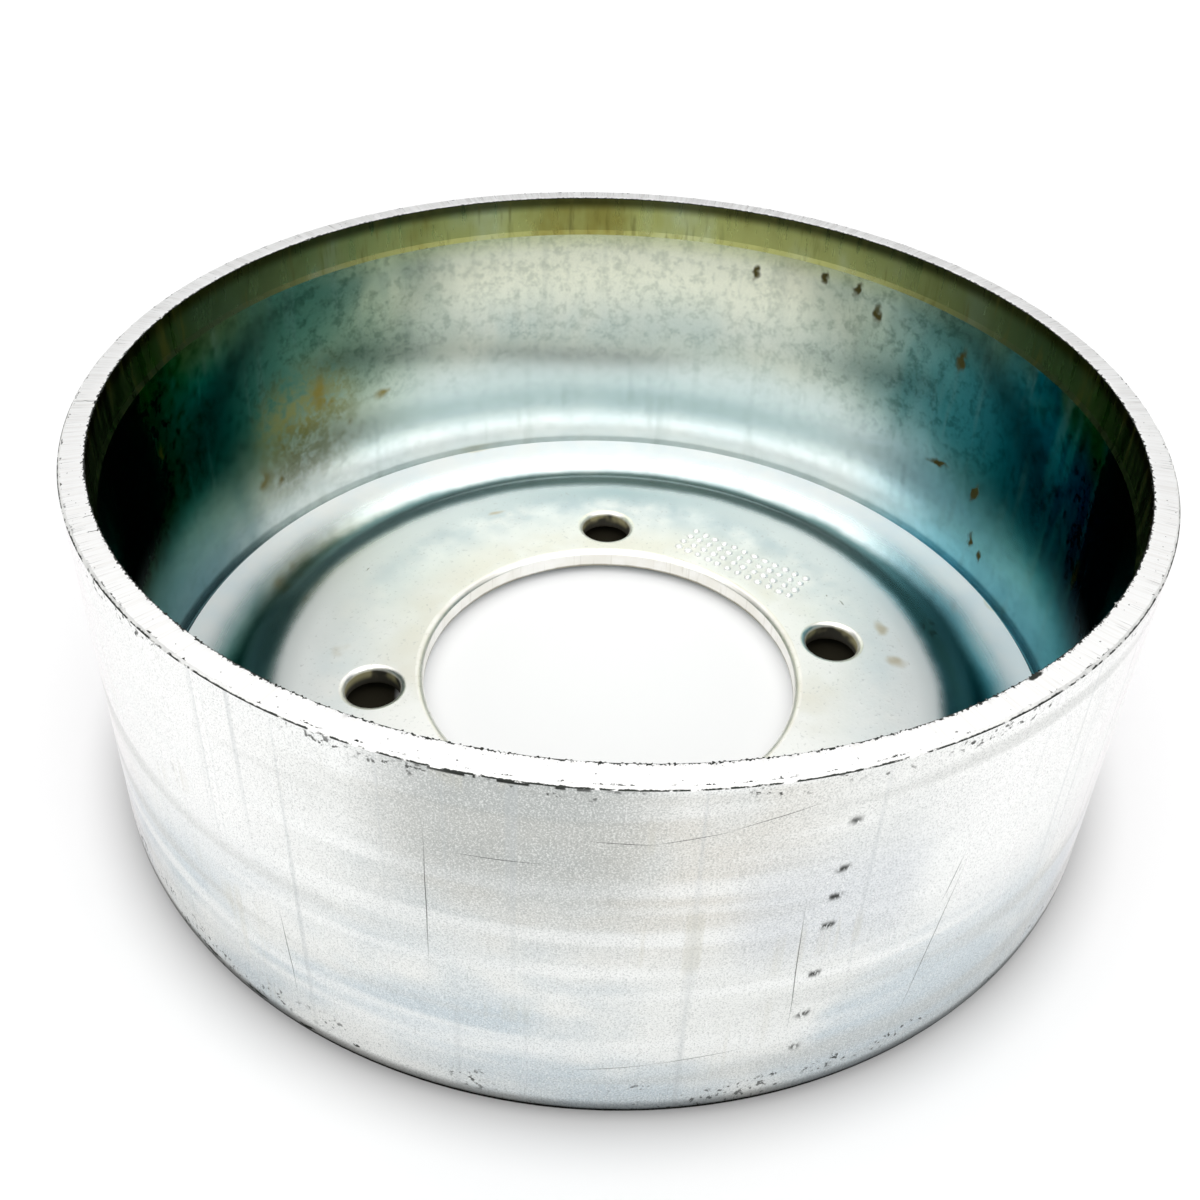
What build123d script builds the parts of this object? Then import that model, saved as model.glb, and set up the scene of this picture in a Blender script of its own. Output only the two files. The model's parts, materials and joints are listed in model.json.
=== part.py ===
from build123d import *
from math import acos, cos, degrees, radians, sin
import os

# Brake drum: a steel cup, pressed from plate and turned inside, open at the top.
# Z is the drum's axis. The origin is on the axis, in the plane that the drum stands on.
# All sizes are in millimetres.

# Friction face and wall
friction_diameter = 203.2
wall_thickness = 5.15
height = 80.0
outer_corner_radius = 5.0

# Mouth: above the friction face the wall is bored out a little wider
mouth_relief = 0.45
mouth_depth = 9.0
mouth_bevel_length = 1.2
rim_outer_chamfer = 0.5

# Runout groove, left by the boring tool at the foot of the friction face
groove_width = 1.6
groove_depth = 1.0

# Bottom: a flat foot ring, a curved step and the raised web that bolts to the hub
plate_thickness = 4.5
web_rise = 2.5
foot_ring_width = 16.0
step_upper_radius = 30.0
step_lower_radius = 14.0

# Centre bore and bolt holes, punched from the open side, which draws their upper edges in
bore_diameter = 86.0
bore_edge_radius = 2.0
bore_edge_turn = 60.0
bolt_spacing_x = 83.0
bolt_spacing_y = 70.0
bolt_hole_diameter = 12.4
bolt_edge_chamfer = 1.1

# Worked out from the sizes above
friction_radius = friction_diameter / 2
outer_radius = friction_radius + wall_thickness
mouth_radius = friction_radius + mouth_relief
bore_radius = bore_diameter / 2
bolt_hole_radius = bolt_hole_diameter / 2
web_top = plate_thickness + web_rise
groove_radius = friction_radius - groove_width
groove_floor = plate_thickness - groove_depth

# The step is two arcs that meet in one slope. Both faces of the plate share the arcs'
# centres, so the plate keeps its thickness through the bends.
step_angle = acos(1 - web_rise / (step_upper_radius + step_lower_radius))
step_turn = degrees(step_angle)
foot_radius = friction_radius - foot_ring_width
seat_radius = foot_radius - (step_upper_radius + step_lower_radius) * sin(step_angle)
downhill = (cos(step_angle), -sin(step_angle))
uphill = (-cos(step_angle), sin(step_angle))

# The edge of the bore rolls off the web's upper face, and meets the bore in a blunt corner
bore_edge_start = bore_radius + bore_edge_radius * sin(radians(bore_edge_turn))


def corner(sketch, radius, level):
    """The vertex of a half section at this radius and height."""
    return sketch.vertices().sort_by_distance((radius, level, 0))[0]


with BuildPart() as brake_drum:
    # Half section: out along the underside, up the outside and back down the inside
    with BuildSketch(Plane.XZ) as section:
        with BuildLine():
            web_underside = Line((bore_radius, web_rise), (seat_radius, web_rise))
            upper_bend_outside = JernArc(
                web_underside @ 1, (1, 0), step_upper_radius - plate_thickness, -step_turn
            )
            lower_bend_outside = JernArc(
                upper_bend_outside @ 1, downhill, step_lower_radius + plate_thickness, step_turn
            )
            wall = Polyline(
                lower_bend_outside @ 1,
                (outer_radius, 0),
                (outer_radius, height),
                (mouth_radius, height),
                (mouth_radius, height - mouth_depth),
                (friction_radius, height - mouth_depth - mouth_bevel_length),
                (friction_radius, groove_floor),
                (groove_radius, groove_floor),
                (groove_radius, plate_thickness),
                (foot_radius, plate_thickness),
            )
            lower_bend = JernArc(wall @ 1, (-1, 0), step_lower_radius, -step_turn)
            upper_bend = JernArc(lower_bend @ 1, uphill, step_upper_radius, step_turn)
            web_face = Line(upper_bend @ 1, (bore_edge_start, web_top))
            bore_edge = JernArc(web_face @ 1, (-1, 0), bore_edge_radius, bore_edge_turn)
            Line(bore_edge @ 1, web_underside @ 0)
        make_face()
        fillet(corner(section, outer_radius, 0), outer_corner_radius)
        chamfer(corner(section, outer_radius, height), rim_outer_chamfer)
    revolve(axis=Axis.Z)

    # Bolt holes on a rectangle about the axis, each with its upper edge drawn in
    with Locations((0, 0, web_top)):
        with GridLocations(bolt_spacing_x, bolt_spacing_y, 2, 2):
            CounterSinkHole(bolt_hole_radius, bolt_hole_radius + bolt_edge_chamfer, counter_sink_angle=90)

brake_drum.part.label = "brake_drum"
os.makedirs("parts", exist_ok=True)
export_step(brake_drum.part, "parts/brake_drum.step")
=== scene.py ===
import json
from math import acos, cos, degrees, hypot, pi, radians, sin

import bmesh
import bpy
from mathutils import Matrix, Vector, noise


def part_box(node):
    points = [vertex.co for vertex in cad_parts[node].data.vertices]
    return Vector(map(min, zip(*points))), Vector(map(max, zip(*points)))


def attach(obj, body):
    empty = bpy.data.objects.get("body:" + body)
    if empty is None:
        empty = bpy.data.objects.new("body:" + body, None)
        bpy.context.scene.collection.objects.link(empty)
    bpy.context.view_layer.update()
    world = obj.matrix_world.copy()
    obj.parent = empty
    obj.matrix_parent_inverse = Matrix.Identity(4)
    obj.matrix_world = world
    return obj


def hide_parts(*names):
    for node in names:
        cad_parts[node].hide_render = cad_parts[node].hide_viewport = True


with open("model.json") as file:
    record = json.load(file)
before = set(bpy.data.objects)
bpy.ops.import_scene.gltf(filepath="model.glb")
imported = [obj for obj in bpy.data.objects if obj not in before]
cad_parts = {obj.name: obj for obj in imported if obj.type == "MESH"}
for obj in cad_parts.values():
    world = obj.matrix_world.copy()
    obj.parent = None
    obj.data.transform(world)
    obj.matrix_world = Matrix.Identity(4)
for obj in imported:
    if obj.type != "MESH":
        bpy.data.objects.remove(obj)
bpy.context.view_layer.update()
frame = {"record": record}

# ---------------------------------------------------------------------------------------
# Sizes. Those that the frame holds are read from it, and the rest are the drum's own.
# ---------------------------------------------------------------------------------------

MM = 0.001

mounts = {mount["name"]: mount for mount in frame["record"]["mounts"]}
bolt_pattern = mounts["hub_bolts"]["dims"]
drum_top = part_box("brake_drum")[1]

outer_radius = drum_top.x
height = drum_top.z
friction_radius = mounts["friction_face"]["dims"]["r_mm"] * MM
bore_radius = mounts["centre_bore"]["dims"]["r_mm"] * MM
bolt_hole_radius = bolt_pattern["hole_r_mm"] * MM
bolt_reach_x = bolt_pattern["spacing_x_mm"] / 2 * MM
bolt_reach_y = bolt_pattern["spacing_y_mm"] / 2 * MM
web_top = mounts["web_inner_face"]["pos_m"][2]
web_underside = mounts["web_outer_face"]["pos_m"][2]

plate_thickness = web_top - web_underside
web_rise = web_underside
outer_corner_radius = 5.0 * MM
mouth_radius = friction_radius + 0.45 * MM
mouth_depth = 9.0 * MM
mouth_bevel_length = 1.2 * MM
rim_outer_chamfer = 0.5 * MM
rim_inner_rounding = 0.12 * MM
burr_reach = 0.14 * MM
groove_radius = friction_radius - 1.6 * MM
groove_floor = plate_thickness - 1.0 * MM
groove_nose_radius = 0.4 * MM
foot_radius = friction_radius - 16.0 * MM
foot_rise = 0.7 * MM
foot_rise_width = 7.5 * MM
step_upper_radius = 30.0 * MM
step_lower_radius = 14.0 * MM
bore_edge_radius = 2.0 * MM
bore_edge_turn = 60.0
bolt_edge_radius = 1.4 * MM
bolt_edge_turn = 76.0

step_turn = degrees(acos(1 - web_rise / (step_upper_radius + step_lower_radius)))
seat_radius = foot_radius - (step_upper_radius + step_lower_radius) * sin(radians(step_turn))

# How finely the drum is turned, the narrow flat strips that keep its edges crisp, and the angle
# in degrees from which an edge is shaded as sharp
turns_round_drum = 840
turns_round_hole = 96
edge_strip = 0.15 * MM
sharp_turn = 18.0

# Which way the camera looks, clockwise from the Y axis, and bearings about the drum's axis as the
# camera sees them, counted from the X axis. All are in degrees.
camera_heading = 52.75
BACK = 90.0 - camera_heading
RIGHT = BACK - 90.0
FRONT = BACK - 180.0

# ---------------------------------------------------------------------------------------
# Shader nodes
# ---------------------------------------------------------------------------------------


def add_node(tree, kind, inputs=None, **settings):
    """A node with its settings, and its inputs as values or as sockets to link from."""
    made = tree.nodes.new(kind)
    for name, value in settings.items():
        setattr(made, name, value)
    for key, value in (inputs or {}).items():
        if isinstance(value, bpy.types.NodeSocket):
            tree.links.new(value, made.inputs[key])
        else:
            made.inputs[key].default_value = value
    return made


def sum_up(tree, operation, first, second=0.0, clamp=False):
    """One step of arithmetic."""
    step = add_node(tree, "ShaderNodeMath", {0: first, 1: second}, operation=operation, use_clamp=clamp)
    return step.outputs[0]


def times(tree, *values):
    """The product of several values."""
    product = values[0]
    for value in values[1:]:
        product = sum_up(tree, "MULTIPLY", product, value)
    return product


def strongest(tree, *masks):
    """The strongest of several masks."""
    top = masks[0]
    for mask in masks[1:]:
        top = sum_up(tree, "MAXIMUM", top, mask)
    return top


def stretched(tree, position, across, along, up):
    """The position scaled on each axis, so that a pattern is drawn out where the scale is small."""
    scaled = add_node(tree, "ShaderNodeMapping", {"Vector": position, "Scale": (across, along, up)})
    return scaled.outputs[0]


def level_of(tree, position):
    """The height above the floor, in millimetres."""
    rise = add_node(tree, "ShaderNodeSeparateXYZ", {"Vector": position}).outputs["Z"]
    return times(tree, rise, 1 / MM)


def reach_of(tree, position):
    """The distance from the drum's axis, in millimetres."""
    flat = stretched(tree, position, 1 / MM, 1 / MM, 0)
    return add_node(tree, "ShaderNodeVectorMath", {0: flat}, operation="LENGTH").outputs["Value"]


def round_of(tree, position):
    """The direction out from the drum's axis, as a level vector of length 1."""
    flat = stretched(tree, position, 1, 1, 0)
    return add_node(tree, "ShaderNodeVectorMath", {0: flat}, operation="NORMALIZE").outputs[0]


def nearness(tree, direction, bearing):
    """The cosine of the angle between a level direction and a bearing about the drum's axis."""
    heading = (cos(radians(bearing)), sin(radians(bearing)), 0.0)
    dot = add_node(tree, "ShaderNodeVectorMath", {0: direction, 1: heading}, operation="DOT_PRODUCT")
    return dot.outputs["Value"]


def sideways_of(tree, position):
    """How far round to a side a place lies: 0 at the back and front, and 1 at the left and right."""
    return sum_up(tree, "ABSOLUTE", nearness(tree, round_of(tree, position), RIGHT))


def speckle(tree, position, scale, detail=3.0, roughness=0.55, distortion=0.0):
    """Soft noise from 0 to 1, with about this many features to the metre."""
    inputs = {"Vector": position, "Scale": scale, "Detail": detail}
    inputs.update({"Roughness": roughness, "Distortion": distortion})
    return add_node(tree, "ShaderNodeTexNoise", inputs).outputs[0]


def spread(tree, value, low, high, to_low=0.0, to_high=1.0):
    """Spreads the span from low to high over the span from to_low to to_high, easing at both ends."""
    if low > high:
        low, high, to_low, to_high = high, low, to_high, to_low
    inputs = {"Value": value, "From Min": low, "From Max": high, "To Min": to_low, "To Max": to_high}
    return add_node(tree, "ShaderNodeMapRange", inputs, interpolation_type="SMOOTHSTEP").outputs[0]


def blended(tree, factor, first, second, kind="MIX"):
    """Two colours, blended by a factor."""
    mix = add_node(tree, "ShaderNodeMix", data_type="RGBA", blend_type=kind, clamp_factor=True)
    for socket, value in zip((mix.inputs[0], mix.inputs[6], mix.inputs[7]), (factor, first, second)):
        if isinstance(value, bpy.types.NodeSocket):
            tree.links.new(value, socket)
        else:
            socket.default_value = value if isinstance(value, float) else (*value, 1.0)
    return mix.outputs[2]


def painted(tree, colour, paint, *shares, kind="MIX"):
    """A colour with a paint over it, by the product of the paint's shares."""
    return blended(tree, times(tree, *shares), colour, paint, kind)


def banded(tree, value, stops):
    """A colour ramp through stops of (place, colour)."""
    ramp = add_node(tree, "ShaderNodeValToRGB", {"Fac": value})
    ramp.color_ramp.interpolation = "EASE"
    elements = ramp.color_ramp.elements
    while len(elements) < len(stops):
        elements.new(0.5)
    for element, (place, colour) in zip(elements, stops):
        element.position = place
        element.color = (*colour, 1.0)
    return ramp.outputs[0]


def stepped(tree, value, end, stops):
    """A mask that eases through stops of (value, strength), over values from 0 to an end."""
    greys = [(place / end, (strength,) * 3) for place, strength in stops]
    return banded(tree, times(tree, value, 1 / end), greys)


def wavered(tree, position, scale, amount):
    """The position pushed about by noise, which makes the edge of a mark uneven."""
    push = add_node(tree, "ShaderNodeTexNoise", {"Vector": position, "Scale": scale, "Detail": 1.0})
    middle = (0.5, 0.5, 0.5)
    centred = add_node(tree, "ShaderNodeVectorMath", {0: push.outputs[1], 1: middle}, operation="SUBTRACT")
    sized = {0: centred.outputs[0], "Scale": amount}
    sized = add_node(tree, "ShaderNodeVectorMath", sized, operation="SCALE")
    moved = add_node(tree, "ShaderNodeVectorMath", {0: position, 1: sized.outputs[0]}, operation="ADD")
    return moved.outputs[0]


# ---------------------------------------------------------------------------------------
# Marks: oval patches on a wall or on the flat, each a centre, a turn and three sizes. Levels,
# reaches, widths and lengths are in millimetres, and angles in degrees. The wall's radius and the
# flat's height are the drum's own, in metres.
# ---------------------------------------------------------------------------------------

MARK_DEPTH = 6.0


def on_wall(radius, angle, level, width, length, lean=0.0):
    """A mark on a wall of this radius. Its top leans back round the wall by an angle."""
    centre = (radius * cos(radians(angle)), radius * sin(radians(angle)), level * MM)
    return centre, (radians(lean), 0.0, radians(angle)), (MARK_DEPTH, width, length)


def on_flat(flat_height, reach, angle, width, length):
    """A mark on a flat at this height, with its width outwards and its length round the axis."""
    centre = (reach * MM * cos(radians(angle)), reach * MM * sin(radians(angle)), flat_height)
    return centre, (0.0, 0.0, radians(angle)), (width, length, MARK_DEPTH)


def scratch(radius, start, end, width):
    """A thin straight mark on a wall, between two places of (angle, level)."""
    (angle, level), (end_angle, end_level) = start, end
    round_by = radius / MM * radians(end_angle - angle)
    rise = end_level - level
    lean = degrees(acos(rise / hypot(round_by, rise))) * (-1 if round_by > 0 else 1)
    middle = (angle + end_angle) / 2, (level + end_level) / 2
    return on_wall(radius, *middle, width, hypot(round_by, rise), lean)


def marks(tree, position, places, softness):
    """A mask of marks, 1 inside them and fading over the softness's share of their half size."""
    nearest = None
    for centre, turn, sizes in places:
        half_sizes = tuple(size / 2 * MM for size in sizes)
        inputs = {"Vector": position, "Location": centre, "Rotation": turn, "Scale": half_sizes}
        local = add_node(tree, "ShaderNodeMapping", inputs, vector_type="TEXTURE")
        away = add_node(tree, "ShaderNodeVectorMath", {0: local.outputs[0]}, operation="LENGTH")
        away = away.outputs["Value"]
        nearest = away if nearest is None else sum_up(tree, "MINIMUM", nearest, away)
    return spread(tree, nearest, 1.0, 1.0 - softness)


def metal(name):
    """A bare metal: its material, node tree, shader and the object's own coordinates."""
    material = bpy.data.materials.new(name)
    material.use_nodes = True
    tree = material.node_tree
    shader = tree.nodes["Principled BSDF"]
    shader.inputs["Metallic"].default_value = 1.0
    position = add_node(tree, "ShaderNodeTexCoord").outputs["Object"]
    return material, tree, shader, position


def finished(tree, shader, colour, roughness, relief=None, depth=0.0):
    """Links a metal's colour and roughness, and its relief, if it has one, as a bump of this depth."""
    tree.links.new(colour, shader.inputs["Base Color"])
    tree.links.new(roughness, shader.inputs["Roughness"])
    if relief is not None:
        bump = add_node(tree, "ShaderNodeBump", {"Height": relief, "Distance": depth, "Strength": 1.0})
        tree.links.new(bump.outputs[0], shader.inputs["Normal"])


# ---------------------------------------------------------------------------------------
# Finishes. They measure in millimetres: levels above the floor and reaches from the axis.
# ---------------------------------------------------------------------------------------

RIM_LEVEL = height / MM
WEB_LEVEL = web_top / MM
OUTER_REACH = outer_radius / MM
MOUTH_REACH = mouth_radius / MM
FOOT_BEND_REACH = foot_radius / MM
WEB_BEND_REACH = seat_radius / MM
BORE_REACH = bore_radius / MM

PALE_ZINC = (0.82, 0.83, 0.81)
BLUE_ZINC = (0.56, 0.64, 0.69)
WARM_ZINC = (0.66, 0.63, 0.57)
ROSY_SIDE_REFLECTION = (0.95, 0.90, 0.92)
SOOT = (0.035, 0.038, 0.034)
PAINTED_FOOT_SHADE = (0.025, 0.023, 0.018)
OLIVE_STAIN = (0.27, 0.20, 0.04)
BROWN_STAIN = (0.085, 0.070, 0.025)
WEB_METALLIC = 0.45
LOW_FRICTION_METALLIC = 0.79

# Where the outer wall's plate is warm, grey or cool, and where its rim is torn, by bearing
WARM_BEARING = -143.0
GREY_BEARING = -149.5
COOL_BEARING = -123.5
TORN_RIM_BEARING = -150.0

# What stacking and handling have left on the outer wall. Rubbed marks are levels in one leaning
# row, scratches run between two places of (angle, level), and scrapes are marks on the wall.
RUBBED_LEVELS = [16.1, 24.7, 35.0, 46.5, 53.1, 59.2, 69.3]
RUBBED_HALF_RISE = 1.3
RUBBED_ROW = ((-125.6, -20.0), (-121.9, 105.0))
LONG_SCRATCHES = [((-114.4, 7.6), (-109.6, 55.8)), ((-125.5, 16.9), (-126.0, 57.3)),
                  ((-156.6, 32.0), (-156.4, 70.0)), ((-170.6, 10.0), (-171.6, 38.0)),
                  ((-112.2, 40.0), (-110.4, 54.0)), ((60.0, 20.0), (66.0, 52.0)),
                  ((140.0, 24.0), (141.0, 60.0))]
HAIRLINES = [((-137.6, 68.8), (-144.9, 69.4)), ((-131.6, 71.4), (-140.0, 68.6)),
             ((-124.6, 75.4), (-134.4, 70.4)), ((-145.6, 63.7), (-155.7, 63.1)),
             ((-136.0, 17.0), (-145.4, 14.8)), ((-128.0, 19.2), (-139.0, 16.4))]
LOW_SCRAPES = [(-170.1, 4.6, 4.5, 1.2), (-164.5, 6.6, 1.8, 1.1), (-176.6, 5.0, 7.0, 0.9),
               (-183.0, 5.8, 6.5, 0.8)]

# Scuffs along both edges of the outer wall, and the painted shade on its foot, as stops of (level, strength)
SCUFFS = [(2.4, 1.0), (6.8, 0.75), (9.2, 0.95), (12.8, 0.0), (RIM_LEVEL - 3.6, 0.0),
          (RIM_LEVEL - 2.24, 0.9), (RIM_LEVEL, 0.6)]
FOOT_SHADE_STOPS = [(0.0, 0.9), (3.4, 1.0), (4.8, 0.6), (7.0, 0.0)]
FOOT_SHADE_SPAN = 10.0


def zinc_outer_wall():
    """Bright zinc plate over drawn steel: a fine salt and pepper grain and upright brushing, dark
    marks of wear, and a foot whose colour and edge tint are painted black as shade where it turns under."""
    material, tree, shader, position = metal("zinc_outer_wall")
    level = level_of(tree, position)
    grain = speckle(tree, position, 3400, 1, 0.7)
    broken = speckle(tree, position, 900, 2)
    upright = speckle(tree, stretched(tree, position, 1, 1, 0.03), 1500, 2)
    streaks = speckle(tree, stretched(tree, position, 1, 1, 0.012), 420, 2)
    clouds = speckle(tree, stretched(tree, position, 0.6, 0.6, 1), 34, 3, 0.6)
    colour = outer_colour_with_painted_reflection(tree, position, level, clouds)
    colour = painted(tree, colour, (0.30, 0.32, 0.31), spread(tree, grain, 0.50, 0.70), 0.42)
    colour = painted(tree, colour, (0.98, 0.99, 0.97), spread(tree, grain, 0.50, 0.32), 0.42)
    colour = painted(tree, colour, (0.48, 0.51, 0.52), spread(tree, streaks, 0.62, 0.74), 0.35)
    stained = spread(tree, speckle(tree, position, 55, 1), 0.58, 0.7)
    colour = painted(tree, colour, (0.56, 0.54, 0.44), spread(tree, streaks, 0.50, 0.64), stained, 0.25)
    # Painted shade: the foot's colour and edge tint go black where it mirrors the floor shadowed under the
    # corner
    foot = stepped(tree, level, FOOT_SHADE_SPAN, FOOT_SHADE_STOPS)
    foot = times(tree, foot, spread(tree, clouds, 0.25, 0.55, 0.85, 1.0))
    colour = painted(tree, colour, PAINTED_FOOT_SHADE, foot)
    foot_edge_shade = painted(tree, (1.0, 1.0, 1.0), (0.04, 0.04, 0.035), foot)
    tree.links.new(foot_edge_shade, shader.inputs["Specular Tint"])
    dark = outer_wall_marks(tree, position, level, broken, streaks)
    colour = painted(tree, colour, SOOT, dark)
    roughness = spread(tree, upright, 0.3, 0.7, 0.27, 0.42)
    roughness = sum_up(tree, "ADD", roughness, times(tree, dark, 0.3), clamp=True)
    relief = sum_up(tree, "ADD", upright, times(tree, grain, 0.6))
    finished(tree, shader, colour, roughness, relief, 0.02 * MM)
    return material


def outer_colour_with_painted_reflection(tree, position, level, clouds):
    """The colour of the outer wall's plate: soft drawn bands all round, blue low down, palest and rosy
    at the sides as painted reflection, with warm, grey and cool patches towards the front."""
    direction = round_of(tree, position)
    sideways = sum_up(tree, "ABSOLUTE", nearness(tree, direction, RIGHT))
    bands = speckle(tree, stretched(tree, position, 0.05, 0.05, 1), 100, 2, 0.6)
    near_warm = spread(tree, nearness(tree, direction, WARM_BEARING), 0.93, 0.995)
    near_grey = spread(tree, nearness(tree, direction, GREY_BEARING), 0.970, 0.999)
    near_cool = spread(tree, nearness(tree, direction, COOL_BEARING), 0.984, 0.997)
    colour = banded(tree, clouds, [(0.35, (0.66, 0.69, 0.69)), (0.65, PALE_ZINC)])
    colour = painted(tree, colour, BLUE_ZINC, spread(tree, clouds, 0.62, 0.42),
                     spread(tree, level, 50, 26), 0.8)
    colour = painted(tree, colour, WARM_ZINC, near_warm, spread(tree, level, 36, 56),
                     spread(tree, clouds, 0.4, 0.6), 0.7)
    # Painted reflection: pale towards the sides and rosy further round, where the wall mirrors the floor at a
    # glancing angle
    colour = painted(tree, colour, (0.97, 0.97, 0.96), spread(tree, sideways, 0.32, 0.60),
                     spread(tree, level, 20, 52), 0.9)
    colour = painted(tree, colour, ROSY_SIDE_REFLECTION, spread(tree, sideways, 0.70, 0.95), 0.9)
    colour = painted(tree, colour, (0.92, 0.93, 0.92), spread(tree, bands, 0.52, 0.64), 0.75)
    colour = painted(tree, colour, (0.54, 0.55, 0.53), spread(tree, bands, 0.46, 0.34), 0.5)
    colour = painted(tree, colour, (0.42, 0.44, 0.43), near_grey, spread(tree, level, 40, 68),
                     spread(tree, bands, 0.25, 0.60, 0.45, 0.85))
    return painted(tree, colour, (0.52, 0.56, 0.62), near_cool, spread(tree, level, 34, 46),
                   spread(tree, level, 70, 54), 0.45)


def outer_wall_marks(tree, position, level, broken, streaks):
    """A mask of the outer wall's dark marks: the rubbed row, nicks, scratches, low scrapes,
    scuffs along both edges and a torn stretch of the rim's edge."""
    scratches = [scratch(outer_radius, *ends, 0.26) for ends in LONG_SCRATCHES]
    scratches += [scratch(outer_radius, *ends, 0.22) for ends in HAIRLINES]
    scratched = times(tree, marks(tree, wavered(tree, position, 60, 0.9 * MM), scratches, 0.8), 0.8)
    scrapes = [on_wall(outer_radius, *scrape) for scrape in LOW_SCRAPES]
    scraped = times(tree, marks(tree, wavered(tree, position, 400, 1.6 * MM), scrapes, 0.4),
                    spread(tree, broken, 0.34, 0.44))
    patches = speckle(tree, stretched(tree, position, 1, 1, 2.5), 70, 2)
    scuffed = times(tree, stepped(tree, level, RIM_LEVEL, SCUFFS), spread(tree, broken, 0.56, 0.66),
                    spread(tree, patches, 0.52, 0.60))
    near_torn = nearness(tree, round_of(tree, position), TORN_RIM_BEARING)
    torn = times(tree, spread(tree, near_torn, 0.985, 0.999),
                 spread(tree, level, RIM_LEVEL - 1.1, RIM_LEVEL - 0.8), spread(tree, streaks, 0.46, 0.52))
    return strongest(tree, rubbed_row(tree, position, level), nicks(tree, position, broken), scratched,
                     scraped, scuffed, torn)


def rubbed_row(tree, position, level):
    """A mask of the row of small rubbed marks that stands up the wall, a little off upright."""
    stops = [(0.0, 0.0)]
    for rise in RUBBED_LEVELS:
        stops += [(rise - RUBBED_HALF_RISE, 0.0), (rise, 1.0), (rise + RUBBED_HALF_RISE, 0.0)]
    rises = stepped(tree, level, RIM_LEVEL, stops)
    row = scratch(outer_radius, *RUBBED_ROW, 3.2)
    across = marks(tree, wavered(tree, position, 700, 1.4 * MM), [row], 0.7)
    hatch = spread(tree, speckle(tree, stretched(tree, position, 1, 1, 0.35), 1500, 2), 0.36, 0.5)
    return times(tree, across, rises, hatch)


def nicks(tree, position, broken):
    """A mask of small nicks, scattered thinly over the wall."""
    flattened = stretched(tree, position, 1, 1, 0.45)
    cells = add_node(tree, "ShaderNodeTexVoronoi", {"Vector": flattened, "Scale": 95.0})
    near = spread(tree, cells.outputs["Distance"], 0.12, 0.05)
    picked = add_node(tree, "ShaderNodeSeparateXYZ", {"Vector": cells.outputs["Color"]}).outputs["X"]
    return times(tree, near, spread(tree, picked, 0.86, 0.9), spread(tree, broken, 0.4, 0.5))


# Short cracks in the rim, each as (reach, angle, width, length)
RIM_CRACKS = [(104.2, 135.4, 5.0, 0.22), (103.0, 160.0, 2.6, 0.25), (103.2, 157.4, 2.0, 0.2),
              (102.4, -104.0, 1.3, 4.0)]


def turned_rim():
    """The rim, faced off square: bright, with fine marks running out along its radius, longest
    towards the sides, and small dark chips."""
    material, tree, shader, position = metal("turned_rim")
    reach = reach_of(tree, position)
    direction = round_of(tree, position)
    striae = speckle(tree, direction, 170, 4)
    lines = speckle(tree, direction, 520, 2)
    outward = sum_up(tree, "ADD", reach, times(tree, speckle(tree, direction, 90), 2.4))
    outer_side = spread(tree, outward, OUTER_REACH - 2.15, OUTER_REACH - 0.35)
    off_front = spread(tree, nearness(tree, direction, FRONT), 0.9, 0.5)
    colour = banded(tree, striae, [(0.3, (0.90, 0.89, 0.87)), (0.6, (0.97, 0.97, 0.96))])
    colour = painted(tree, colour, (0.34, 0.34, 0.33), spread(tree, lines, 0.60, 0.68), outer_side,
                     off_front, 0.75)
    colour = painted(tree, colour, (0.45, 0.44, 0.42), spread(tree, lines, 0.66, 0.72),
                     spread(tree, striae, 0.5, 0.62), off_front, 0.4)
    colour = painted(tree, colour, SOOT, rim_chips(tree, position, reach, direction))
    roughness = spread(tree, striae, 0.3, 0.7, 0.28, 0.40)
    finished(tree, shader, colour, roughness, striae, 0.03 * MM)
    return material


def rim_chips(tree, position, reach, direction):
    """A mask of the rim's damage: chips along both edges, pits and a few short cracks."""
    uneven = times(tree, sum_up(tree, "SUBTRACT", speckle(tree, position, 1100, 3, 0.7), 0.5), 2.6)
    inner_chips = spread(tree, sum_up(tree, "SUBTRACT", reach, uneven), MOUTH_REACH + 0.28,
                         MOUTH_REACH + 0.14)
    outer_chips = spread(tree, sum_up(tree, "ADD", reach, uneven), OUTER_REACH - 0.62, OUTER_REACH - 0.5)
    patchy = spread(tree, speckle(tree, direction, 26, 3), 0.5, 0.6)
    pits = times(tree, spread(tree, speckle(tree, position, 1500, 1), 0.73, 0.77), 0.8)
    cracks = [on_flat(height, *crack) for crack in RIM_CRACKS]
    cracked = marks(tree, wavered(tree, position, 700, 0.7 * MM), cracks, 0.4)
    return strongest(tree, inner_chips, times(tree, outer_chips, patchy), pits, cracked)


def burred_edge():
    """The rim's narrow broken edges: bright where they are clean and black where they are burred."""
    material, tree, shader, position = metal("burred_edge")
    breaks = speckle(tree, position, 240, 4, 0.7)
    fine = speckle(tree, position, 1300, 2)
    outside = spread(tree, reach_of(tree, position), 103, 105)
    uneven_level = sum_up(tree, "ADD", level_of(tree, position), times(tree, fine, 0.3))
    line = times(tree, spread(tree, uneven_level, RIM_LEVEL - 0.10, RIM_LEVEL - 0.22), outside,
                 spread(tree, breaks, 0.40, 0.48))
    burred = times(tree, spread(tree, breaks, 0.28, 0.36), sum_up(tree, "SUBTRACT", 1.0, outside))
    colour = painted(tree, (0.86, 0.86, 0.84), SOOT, strongest(tree, line, burred))
    roughness = spread(tree, fine, 0.3, 0.7, 0.35, 0.6)
    finished(tree, shader, colour, roughness, sum_up(tree, "ADD", breaks, fine), 0.06 * MM)
    return material


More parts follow.
